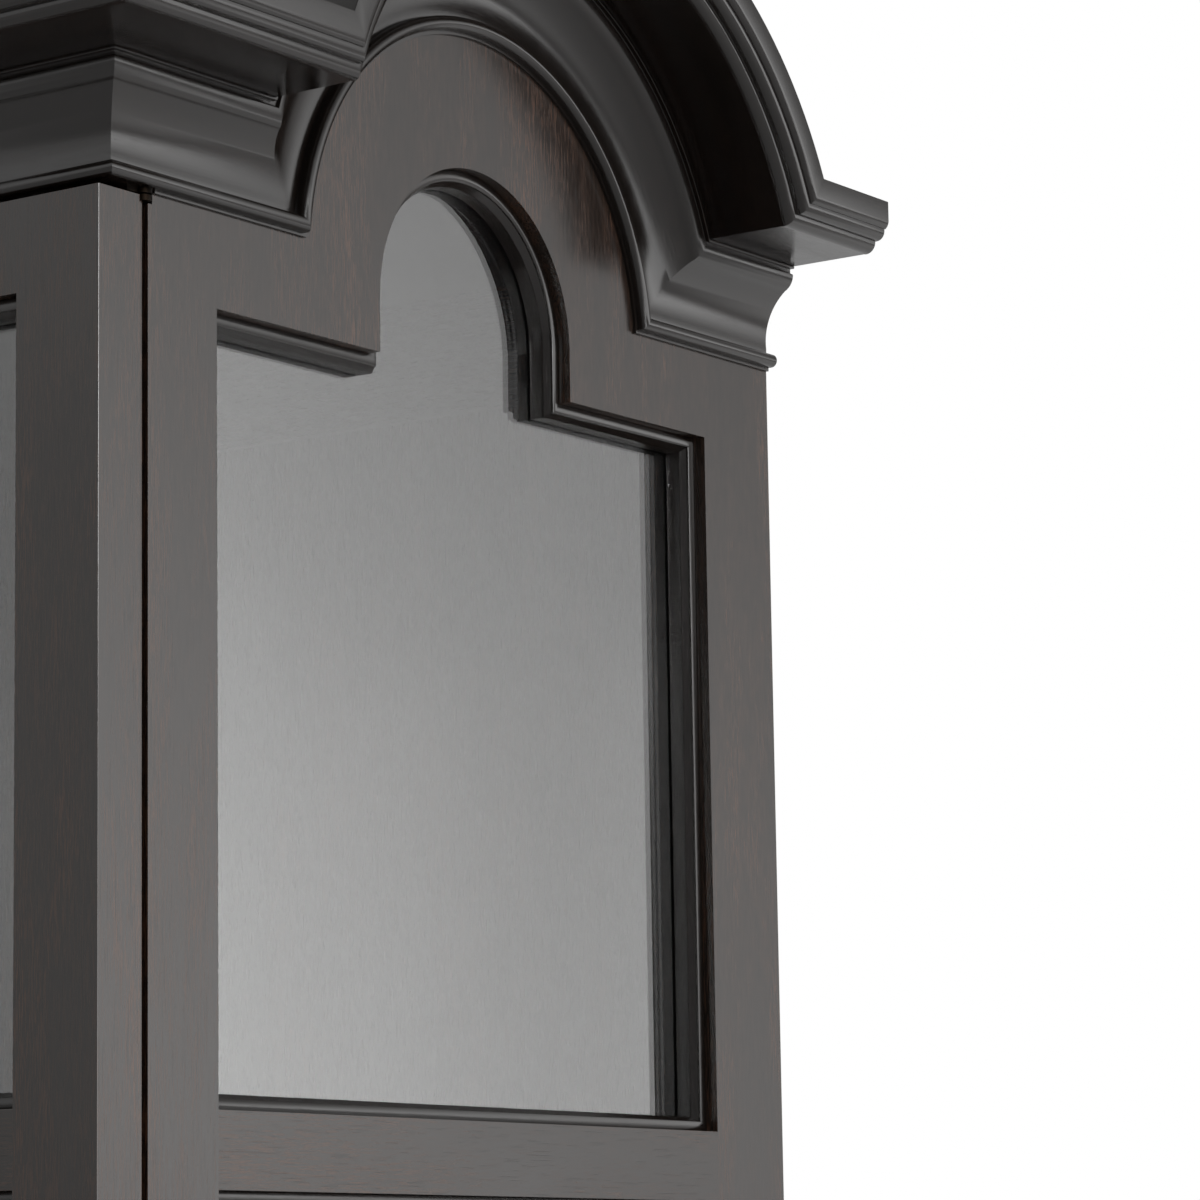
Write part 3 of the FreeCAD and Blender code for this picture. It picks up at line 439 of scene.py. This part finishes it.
def pane_glass():
    """Clear window glass with the faint waviness of drawn sheet."""
    s = Shader("pane_glass")
    s.surface.inputs["Base Color"].default_value = (0.96, 0.965, 0.96, 1)
    s.surface.inputs["Transmission Weight"].default_value = 1.0
    s.surface.inputs["IOR"].default_value = GLASS_IOR
    drift = s.noise(s.coordinates("Object", (5, 5, 3)), 1)
    s.surface.inputs["Roughness"].default_value = 0.0
    s.bump(drift, 0.0004, 0.1)
    return s.material


def aged_brass():
    """Brass gone brown in the hollows, brighter where it is handled."""
    s = Shader("aged_brass")
    cloud = s.noise(s.coordinates("Object", (60, 60, 60)), 5, 0.6, 0.4)
    speck = s.noise(s.coordinates("Object", (700, 700, 700)), 2)
    colour = s.mix(s.ramp(cloud, 0.35, 0.68), (0.20, 0.125, 0.05), (0.52, 0.36, 0.15))
    colour = s.mix(s.ramp(speck, 0.60, 0.72, 0.0, 0.7), colour, (0.07, 0.045, 0.02))
    s.link(colour, s.surface.inputs["Base Color"])
    s.surface.inputs["Metallic"].default_value = 1.0
    s.link(s.ramp(cloud, 0.3, 0.7, 0.42, 0.24), s.surface.inputs["Roughness"])
    s.bump(speck, 0.00005, 0.5)
    return s.material


def hinge_brass_in_painted_shade():
    """Hinge brass whose colour is painted almost black-brown: painted shade standing for the shadow
    in the door's gap, where the hinge sits.
    """
    s = Shader("hinge_brass_painted_gap_shade")
    cloud = s.noise(s.coordinates("Object", (90, 90, 90)), 4, 0.6, 0.3)
    # near-black brass colours: painted shade of the door's gap, not the metal's own colour
    s.link(s.mix(s.ramp(cloud, 0.35, 0.7), (0.0016, 0.0012, 0.0009), (0.006, 0.0042, 0.003)),
           s.surface.inputs["Base Color"])
    s.surface.inputs["Metallic"].default_value = 1.0
    s.link(s.ramp(cloud, 0.3, 0.7, 0.62, 0.5), s.surface.inputs["Roughness"])
    s.bump(cloud, 0.00006, 0.5)
    return s.material


def bolt_steel():
    """Drawn steel with fine lines along its length."""
    s = Shader("bolt_steel")
    lines = s.noise(s.coordinates("Object", (60, 2600, 2600)), 2)
    s.link(s.mix(lines, (0.34, 0.34, 0.35), (0.52, 0.52, 0.53)), s.surface.inputs["Base Color"])
    s.surface.inputs["Metallic"].default_value = 1.0
    s.link(s.ramp(lines, 0.2, 0.8, 0.26, 0.40), s.surface.inputs["Roughness"])
    s.bump(lines, 0.00003, 0.5)
    return s.material


def glide_plastic():
    """Dull dark nylon with a moulded texture."""
    s = Shader("glide_plastic")
    grit = s.noise(s.coordinates("Object", (1500, 1500, 1500)), 2)
    s.link(s.mix(grit, (0.018, 0.018, 0.019), (0.032, 0.032, 0.033)),
           s.surface.inputs["Base Color"])
    s.link(s.ramp(grit, 0.2, 0.8, 0.45, 0.62), s.surface.inputs["Roughness"])
    s.bump(grit, 0.00008, 0.5)
    return s.material


DARK = (0.0125, 0.0090, 0.0072)
WARM = (0.076, 0.034, 0.0185)
MOULDING_DARK = (0.0056, 0.0040, 0.0032)
MOULDING_WARM = (0.017, 0.0082, 0.0052)
wood = {axis: stained_wood("dark_wood_grain_" + axis.lower(), axis, DARK, WARM)
        for axis in ("X", "Y", "Z", "Round")}
arris = {axis: stained_wood("dark_wood_arris_" + axis.lower(), axis, DARK, WARM, rub=0.05,
                            roughness=0.15, shine=0.7)
         for axis in ("X", "Y", "Z")}
moulding_wood = stained_wood("moulding_wood", "UV", MOULDING_DARK, MOULDING_WARM,
                             roughness=0.20, shine=0.40)
inner_wood = stained_wood("bead_wood", "Z", MOULDING_DARK, MOULDING_WARM)
glass = pane_glass()
brass = aged_brass()
gap_shaded_hinge_brass = hinge_brass_in_painted_shade()
steel = bolt_steel()
nylon = glide_plastic()


# ---- glazing mouldings -------------------------------------------------------------------------
def moulding_section():
    """Glazing moulding as (inset from the opening's edge, depth from the frame's face): a
    flattened roll, a small step, a slope and a narrow face beside the pane."""
    roll = arc((0, ROLL_DEPTH), (ROLL_WIDTH / 2, ROLL_CREST), (ROLL_WIDTH, ROLL_DEPTH), 13)
    return softened(joined(roll, [(ROLL_WIDTH, STEP_DEPTH), (MOULDING_WIDTH, SLOPE_DEPTH),
                                  (MOULDING_WIDTH, MOULDING_BACK), (0, MOULDING_BACK)]),
                    0.0003)


def rectangle_path(lo, hi, z0, z1):
    """Corners of an opening and the way each moves as the outline shrinks by one unit."""
    points = np.array([(lo, z0), (hi, z0), (hi, z1), (lo, z1)], float)
    moves = np.array([(1, 1), (-1, 1), (-1, -1), (1, -1)], float)
    return points, moves


def domed_path(lo, hi, z0):
    """The same for the topmost opening: shoulders, upright jambs and a round arch, whose points
    move towards the arch's centre."""
    middle = (lo + hi) / 2
    r = OPENING_RADIUS
    spring = SHOULDER + OPENING_RISE
    angle = np.linspace(0, math.pi, 49)
    arch = np.column_stack([middle + r * np.cos(angle), spring + r * np.sin(angle)])
    inwards = np.column_stack([-np.cos(angle), -np.sin(angle)])
    points = np.vstack([[(lo, z0), (hi, z0), (hi, SHOULDER), (middle + r, SHOULDER)], arch,
                        [(middle - r, SHOULDER), (lo, SHOULDER)]])
    moves = np.vstack([[(1, 1), (-1, 1), (-1, -1), (-1, -1)], inwards, [(1, -1), (1, -1)]])
    return points, moves


def ring(points, moves, section, place):
    """Section carried round an opening: point + inset * move in the wall, depth into it."""
    flat = points[:, None, :] + section[None, :, :1] * moves[:, None, :]
    depth = np.broadcast_to(section[None, :, 1], flat.shape[:2])
    return place(flat[..., 0], depth, flat[..., 1])


def on_front(side):
    """Places a wall's points on the face of the right (1) or left (-1) door."""
    return lambda along, depth, up: np.stack([side * along, FACE_Y + depth, up], -1)


def on_side(side):
    """Places a wall's points on the right (1) or left (-1) side of the case."""
    return lambda along, depth, up: np.stack([side * (HALF_WIDTH - depth), along, up], -1)


def tier_paths(lo, hi):
    """Outlines of the four openings, one above the other."""
    pitch = (TOP_OPENING - FIRST_OPENING) / (TIERS - 1)
    low = [FIRST_OPENING + t * pitch for t in range(TIERS - 1)]
    return [rectangle_path(lo, hi, z, z + pitch - MID_RAIL) for z in low] \
        + [domed_path(lo, hi, TOP_OPENING)]


section = moulding_section()
for side, sign in (("right", 1), ("left", -1)):
    grids = [ring(p, m, section, on_front(sign)) for p, m in tier_paths(*DOOR_OPENING)]
    piece_from_grids(f"door_{side}_mouldings", grids, True, moulding_wood, "door_" + side,
                     [f"door_{side}_glazing_mouldings"])
grids = [ring(p, m, section, on_side(sign)) for sign in (1, -1)
         for p, m in tier_paths(*SIDE_OPENING)]
piece_from_grids("side_mouldings", grids, True, moulding_wood, "carcass",
                 ["side_glazing_mouldings"])


# ---- cornice -----------------------------------------------------------------------------------
def crown_outline():
    """Crown as (outwards, up): flat soffit, two beads with quirks, an eased fascia."""
    lower = arc((SOFFIT, CROWN_LOW), (SOFFIT + 0.006, CROWN_LOW + 0.0014),
                (SOFFIT + 0.0082, CROWN_LOW + 0.0066), 12)
    upper = arc((SOFFIT + 0.0092, CROWN_LOW + 0.0066), (SOFFIT + 0.0134, CROWN_LOW + 0.0084),
                (SOFFIT + 0.0148, CROWN_LOW + 0.0132), 10)
    ease = arc((SOFFIT + 0.0156, CROWN_LOW + 0.0132), (CROWN_REACH - 0.0007, CROWN_LOW + 0.0152),
               (CROWN_REACH, CROWN_LOW + 0.0176), 7)
    return softened(joined([(-SEAT_DEPTH, CROWN_LOW)], lower, upper, ease,
                           [(CROWN_REACH, CROWN_TOP), (-SEAT_DEPTH, CROWN_TOP)]), 0.0008)


def cove_outline():
    """Cove as (outwards, up): fillet, deep hollow, reversed curve, quirk and lip."""
    hollow = arc((0.0004, 0.012), (0.004, 0.0325), (0.015, 0.046), 22)
    turn = arc((0.015, 0.046), (0.0194, 0.0499), (0.021, 0.0555), 9)
    lip = CROWN_LOW - 0.0015
    return softened(joined([(-SEAT_DEPTH, ASTRAGAL), (0.0004, ASTRAGAL)], hollow, turn,
                           [(0.019, 0.0566), (0.019, lip), (0.022, lip), (0.022, CROWN_LOW),
                            (-SEAT_DEPTH, CROWN_LOW)]), 0.0004)


def astragal_outline():
    """Half-round nose."""
    nose = ASTRAGAL / 2
    return joined([(0, 0)], arc((nose, 0), (ASTRAGAL, nose), (nose, ASTRAGAL), ASTRAGAL_STEPS),
                  [(0, ASTRAGAL)])


def scribe_outline():
    """Thin strip under the astragal on the sides, as (outwards, up)."""
    return np.array([(0, -0.002), (0.0018, -0.002), (0.0018, 0), (0, 0)])


def base_outline():
    """Base moulding as (outwards, up): upright fillet, hollow and a rounded top."""
    h, w = BASE_HEIGHT, BASE_REACH
    hollow = arc((w - 0.0015, h * 0.34), (w * 0.52, h * 0.5), (w * 0.42, h * 0.72), 12)
    nose = arc((w * 0.42, h * 0.72), (w * 0.36, h * 0.86), (w * 0.16, h), 9)
    return softened(joined([(0, 0), (w, 0), (w, h * 0.34)], hollow, nose, [(0, h)]), 0.0006)


def run(outline, start, end, centres, height=CORNICE_Z):
    """One member along a wall as columns x section: level lengths, and over each centre an
    arch whose angle is t * acos((drop + r) / (radius + r)), t from -1 to 1, so that it meets
    the level length in a curved mitre. start and end take the outward distance."""
    q, r = outline[:, 0], outline[:, 1]
    along, up = [start(q)], [height + r]
    half = np.arccos((ARCH_DROP + r) / (ARCH_RADIUS + r))
    t = np.linspace(-1, 1, ARCH_STEPS + 1)[:, None]
    for centre in centres:
        along.append(centre + (ARCH_RADIUS + r) * np.sin(t * half))
        up.append(height - ARCH_DROP + (ARCH_RADIUS + r) * np.cos(t * half))
    along.append(end(q))
    up.append(height + r)
    along, up = np.vstack(along), np.vstack(up)
    return along, np.broadcast_to(q, along.shape), up


def front_run(outline, centres, wall, height=CORNICE_Z):
    """The run across the front, from mitre to mitre."""
    along, out, up = run(outline, lambda q: -HALF_WIDTH - q, lambda q: HALF_WIDTH + q, centres,
                         height)
    return np.stack([along, wall - out, up], -1)


def side_runs(outline, centres, wall, height=CORNICE_Z):
    """Both side runs, from the front mitre to the back."""
    along, out, up = run(outline, lambda q: wall - q, lambda q: q * 0 + BACK_Y, centres, height)
    return [np.stack([s * (HALF_WIDTH + out), along, up], -1) for s in (1, -1)]


WALL = FACE_Y + WALL_SETBACK
FRONT_ARCHES = (-DOOR_CENTRE, DOOR_CENTRE)
crown, cove, nose = crown_outline(), cove_outline(), astragal_outline()
piece_from_grids("crown_front_run", [front_run(crown, FRONT_ARCHES, WALL)], False, moulding_wood,
                 "carcass", ["crown_front"])
right, left = side_runs(crown, (SIDE_CENTRE,), WALL)
piece_from_grids("crown_right_run", [right], False, moulding_wood, "carcass",
                 ["crown_right"])
piece_from_grids("crown_left_run", [left], False, moulding_wood, "carcass",
                 ["crown_left"])
piece_from_grids("cove_front_run", [front_run(cove, FRONT_ARCHES, WALL)], False, moulding_wood,
                 "carcass", ["cove_front"])
piece_from_grids("cove_side_runs", side_runs(cove, (SIDE_CENTRE,), WALL), False, moulding_wood,
                 "carcass", ["cove_sides"])
scribes = [np.stack([s * (HALF_WIDTH + out), along, up], -1) for s in (1, -1)
           for along, out, up in [run(scribe_outline(), lambda q: q * 0 + SCRIBE_START,
                                      lambda q: q * 0 + BACK_Y, (SIDE_CENTRE,))]]
piece_from_grids("astragal_runs", [front_run(nose, FRONT_ARCHES, WALL)]
                 + side_runs(nose, (SIDE_CENTRE,), WALL) + scribes, False, moulding_wood,
                 "carcass", ["astragal"])
base = base_outline()
base_low = PLINTH_TOP - BASE_HEIGHT
piece_from_grids("base_moulding_runs", [front_run(base, (), FACE_Y, base_low)]
                 + side_runs(base, (), FACE_Y, base_low), False, moulding_wood, "carcass",
                 ["base_moulding"])


# ---- knobs -------------------------------------------------------------------------------------
def turned(profile, centre, steps=64):
    """Surface of revolution about the knob's axis: (reach, radius) turned through 360 degrees."""
    angle = np.linspace(0, 2 * math.pi, steps, endpoint=False)[:, None]
    reach, radius = profile[:, 0][None], profile[:, 1][None]
    x = centre.x + radius * np.cos(angle)
    z = centre.z + radius * np.sin(angle)
    return np.stack([x, np.broadcast_to(centre.y - reach, x.shape), z], -1)


def knob_profile():
    """Closed half section: rose with a rounded edge, waisted stem, swelling, domed face."""
    rose = arc((0.002, 0.011), (0.0038, 0.0094), (0.0044, 0.0063), 9)
    waist = arc((0.0044, 0.0063), (0.0085, 0.0053), (0.011, 0.0057), 9)
    swell = arc((0.011, 0.0057), (0.0131, 0.01195), (0.01836, 0.0139), 15)
    face = arc((0.01836, 0.0139), (0.0248, 0.0071), (0.0269, 0.00004), 15)
    return joined([(0, 0.00004), (0, 0.0108), (0.0002, 0.011)], rose, waist, swell, face)


for side in ("right", "left"):
    lo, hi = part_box(f"door_{side}_knob")
    centre = Vector(((lo.x + hi.x) / 2, FACE_Y, (lo.z + hi.z) / 2))
    grid = turned(knob_profile(), centre)
    piece_from_grids(f"door_{side}_turned_knob", [grid], True, brass, "door_" + side,
                     [f"door_{side}_knob"], sharp=50.0)

# ---- frame members with eased arrises ----------------------------------------------------------
SIDE_MATERIALS = [wood["Z"], wood["Y"], arris["Z"]]
FRONT_MATERIALS = [wood["Z"], wood["X"], arris["Z"]]
for side in ("right", "left"):
    body = "door_" + side
    jointed(f"{body}_frame", [(f"{body}_hinge_stile", 0), (f"{body}_meeting_stile", 0),
                              (f"{body}_arched_head", 0), (f"{body}_bottom_rail", 1),
                              (f"{body}_mid_rails", 1)], body, FRONT_MATERIALS)
jointed("side_frames", [("side_mid_rails", 1)]
        + [(f"side_{side}_{n}", i) for side in ("right", "left") for n, i in
           (("front_stile", 0), ("rear_stile", 0), ("arched_head", 0), ("bottom_rail", 1))],
        "carcass", SIDE_MATERIALS)
members = {"Z": [("side_lower_panels", "carcass"), ("centre_mullion", "carcass"),
                 ("back_stiles", "carcass"), ("back_panels", "carcass")],
           "X": [("front_head", "carcass"), ("shelves", "carcass"), ("bottom_board", "carcass"),
                 ("roof_board", "carcass"), ("hoods", "carcass"), ("back_rails", "carcass")]}
for side in ("right", "left"):
    members["Z"].append((f"door_{side}_lower_panel", "door_" + side))
for axis, entries in members.items():
    for node, body in entries:
        eased(node, body, wood[axis], arris[axis])
eased("front_frieze", "carcass", wood["X"], arris["X"], STRIKE_EDGE)
eased("lock_key", "lock_key_body", brass, brass, KEY_EDGE)
eased("lock_case", "door_right", brass, brass, CASE_EDGE)

finishes = {"pane_glass": glass, "aged_brass": brass, "bolt_steel": steel,
            "glide_plastic": nylon, "dark_wood": wood["Z"], "moulding_wood": inner_wood}
slots = {part["node"]: part["material_slot"] for part in frame["record"]["subparts"]}
for name, node in frame["nodes"].items():
    node.data.materials.clear()
    # hinges take the brass painted near-black: painted shade of the door's gap
    if "hinge" in name and slots[name] == "aged_brass":
        node.data.materials.append(gap_shaded_hinge_brass)
    elif name == "plinth":
        node.data.materials.append(wood["Round"])
    else:
        node.data.materials.append(finishes[slots[name]])


# ---- floor, light, camera ----------------------------------------------------------------------
FLOOR_REACH = 60.0
SENSOR_WIDTH = 36.0
NEAR_CLIP, FAR_CLIP = 0.05, 60.0


def pale_floor():
    """Wide level square, matt and nearly white."""
    mesh = bpy.data.meshes.new("floor")
    far = FLOOR_REACH
    mesh.from_pydata([(-far, -far, 0), (far, -far, 0), (far, far, 0), (-far, far, 0)], [],
                     [(0, 1, 2, 3)])
    s = Shader("pale_floor")
    s.surface.inputs["Base Color"].default_value = (0.88, 0.88, 0.88, 1)
    s.surface.inputs["Roughness"].default_value = 0.7
    mesh.materials.append(s.material)
    floor = bpy.data.objects.new("floor", mesh)
    bpy.context.scene.collection.objects.link(floor)


def softbox(name, place, target, size, radiance):
    """Large lamp, size wide and high, whose face shines at one even radiance."""
    light = bpy.data.lights.new(name, "AREA")
    light.shape = "RECTANGLE"
    light.size, light.size_y = size
    light.energy = radiance * math.pi * size[0] * size[1]
    lamp = bpy.data.objects.new(name, light)
    bpy.context.scene.collection.objects.link(lamp)
    lamp.location = place
    lamp.rotation_euler = (Vector(target) - Vector(place)).to_track_quat("-Z", "Y").to_euler()
    return lamp


def studio(level, ceiling, glows):
    """White room: an even level plus soft glows, each level * exp(width * (cos(angle) - 1))
    about a direction given as bearing from +Y towards +X and height, with a ceiling on their
    sum; the backdrop is white."""
    world = bpy.data.worlds.new("studio")
    world.use_nodes = True
    tree = world.node_tree
    tree.nodes.clear()

    def math_node(operation, a, b):
        node = tree.nodes.new("ShaderNodeMath")
        node.operation = operation
        for socket, value in zip(node.inputs, (a, b)):
            if isinstance(value, (int, float)):
                socket.default_value = value
            else:
                tree.links.new(value, socket)
        return node.outputs[0]
    way = tree.nodes.new("ShaderNodeTexCoord").outputs["Generated"]
    total = level
    for (bearing, height), strength, width in glows:
        bearing, height = math.radians(bearing), math.radians(height)
        dot = tree.nodes.new("ShaderNodeVectorMath")
        dot.operation = "DOT_PRODUCT"
        dot.inputs[1].default_value = (math.sin(bearing) * math.cos(height),
                                       math.cos(bearing) * math.cos(height), math.sin(height))
        tree.links.new(way, dot.inputs[0])
        fall = math_node("MULTIPLY", math_node("SUBTRACT", dot.outputs["Value"], 1.0), width)
        glow = math_node("MULTIPLY", math_node("EXPONENT", fall, 0.0), strength)
        total = math_node("MINIMUM", math_node("ADD", glow, total), ceiling)
    room = tree.nodes.new("ShaderNodeBackground")
    tree.links.new(total, room.inputs["Strength"])
    backdrop = tree.nodes.new("ShaderNodeBackground")
    backdrop.inputs["Strength"].default_value = 1.0
    for node in (room, backdrop):
        node.inputs["Color"].default_value = (1, 1, 1, 1)
    choose = tree.nodes.new("ShaderNodeMixShader")
    tree.links.new(tree.nodes.new("ShaderNodeLightPath").outputs["Is Camera Ray"],
                   choose.inputs[0])
    tree.links.new(room.outputs[0], choose.inputs[1])
    tree.links.new(backdrop.outputs[0], choose.inputs[2])
    out = tree.nodes.new("ShaderNodeOutputWorld")
    tree.links.new(choose.outputs[0], out.inputs["Surface"])
    bpy.context.scene.world = world


def camera(place, yaw, pitch, roll, lens):
    """Camera looking along a bearing from +Y towards +X, tilted up by pitch, turned by roll."""
    yaw, pitch, roll = (math.radians(a) for a in (yaw, pitch, roll))
    forward = Vector((math.sin(yaw) * math.cos(pitch), math.cos(yaw) * math.cos(pitch),
                      math.sin(pitch)))
    right = Vector((math.cos(yaw), -math.sin(yaw), 0))
    up = right.cross(forward)
    across = right * math.cos(roll) + up * math.sin(roll)
    upright = up * math.cos(roll) - right * math.sin(roll)
    data = bpy.data.cameras.new("camera")
    data.lens = lens
    data.sensor_width = SENSOR_WIDTH
    data.clip_start = NEAR_CLIP
    data.clip_end = FAR_CLIP
    view = bpy.data.objects.new("camera", data)
    bpy.context.scene.collection.objects.link(view)
    view.matrix_world = Matrix.Translation(place) @ Matrix(
        (across, upright, -forward)).transposed().to_4x4()
    bpy.context.scene.camera = view


pale_floor()
studio(level=0.34, ceiling=4.2, glows=[
    ((60, -5), 10.0, 16.0),       # window-like light on the right, behind
    ((92, 2), 3.0, 9.0),          # its soft edge towards the front
    ((-137, 9), 0.9, 12.0),       # fill in front of the doors
    ((-60, 55), 0.6, 6.0)])       # a little from high on the left
bpy.context.scene.view_settings.view_transform = "Standard"
softbox("high_front_softbox", place=(-2.5, -4.5, 4.6), target=(0, 0, 1.5), size=(3.0, 3.0),
        radiance=0.35)
right_lamp = softbox("right_softbox", place=(4.7, -2.0, 3.15), target=(0.6, -0.3, 1.9),
                     size=(3.2, 1.2), radiance=18.0)
right_lamp.visible_diffuse = False
floor_lamp = softbox("floor_softbox", place=(4.4, 6.4, 3.4), target=(4.4, 6.4, 0),
                     size=(8.0, 8.0), radiance=2.0)
floor_lamp.visible_glossy = floor_lamp.visible_transmission = False
camera(Vector((2.0878, -1.9427, 1.4607)), yaw=-35.168, pitch=8.986, roll=-0.889, lens=136.99)
